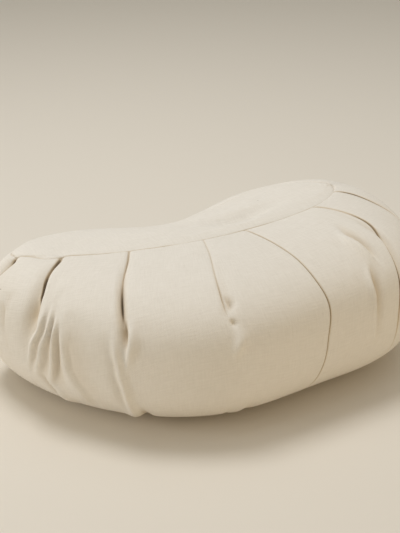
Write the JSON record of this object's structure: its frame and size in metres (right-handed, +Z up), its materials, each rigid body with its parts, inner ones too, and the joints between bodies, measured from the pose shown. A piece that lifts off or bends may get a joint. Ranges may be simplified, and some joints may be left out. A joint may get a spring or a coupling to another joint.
{
  "type": "crescent meditation cushion",
  "caption": "Crescent-shaped filled floor cushion with a pleated band, a flat underside to rest on and a recess for the heels.",
  "frame": {"origin": "middle of the cushion's footprint box, on the surface that it rests on", "axes": "+X along its length towards the plumper lobe, -Y towards its full outer side, +Z up"},
  "size_m": [0.4376, 0.2982, 0.154],
  "materials": {
    "cotton_cloth": "matte undyed cotton, close weave with small darker flecks"
  },
  "bodies": {
    "root": {"cushion": "cotton_cloth"}
  },
  "joints": []
}
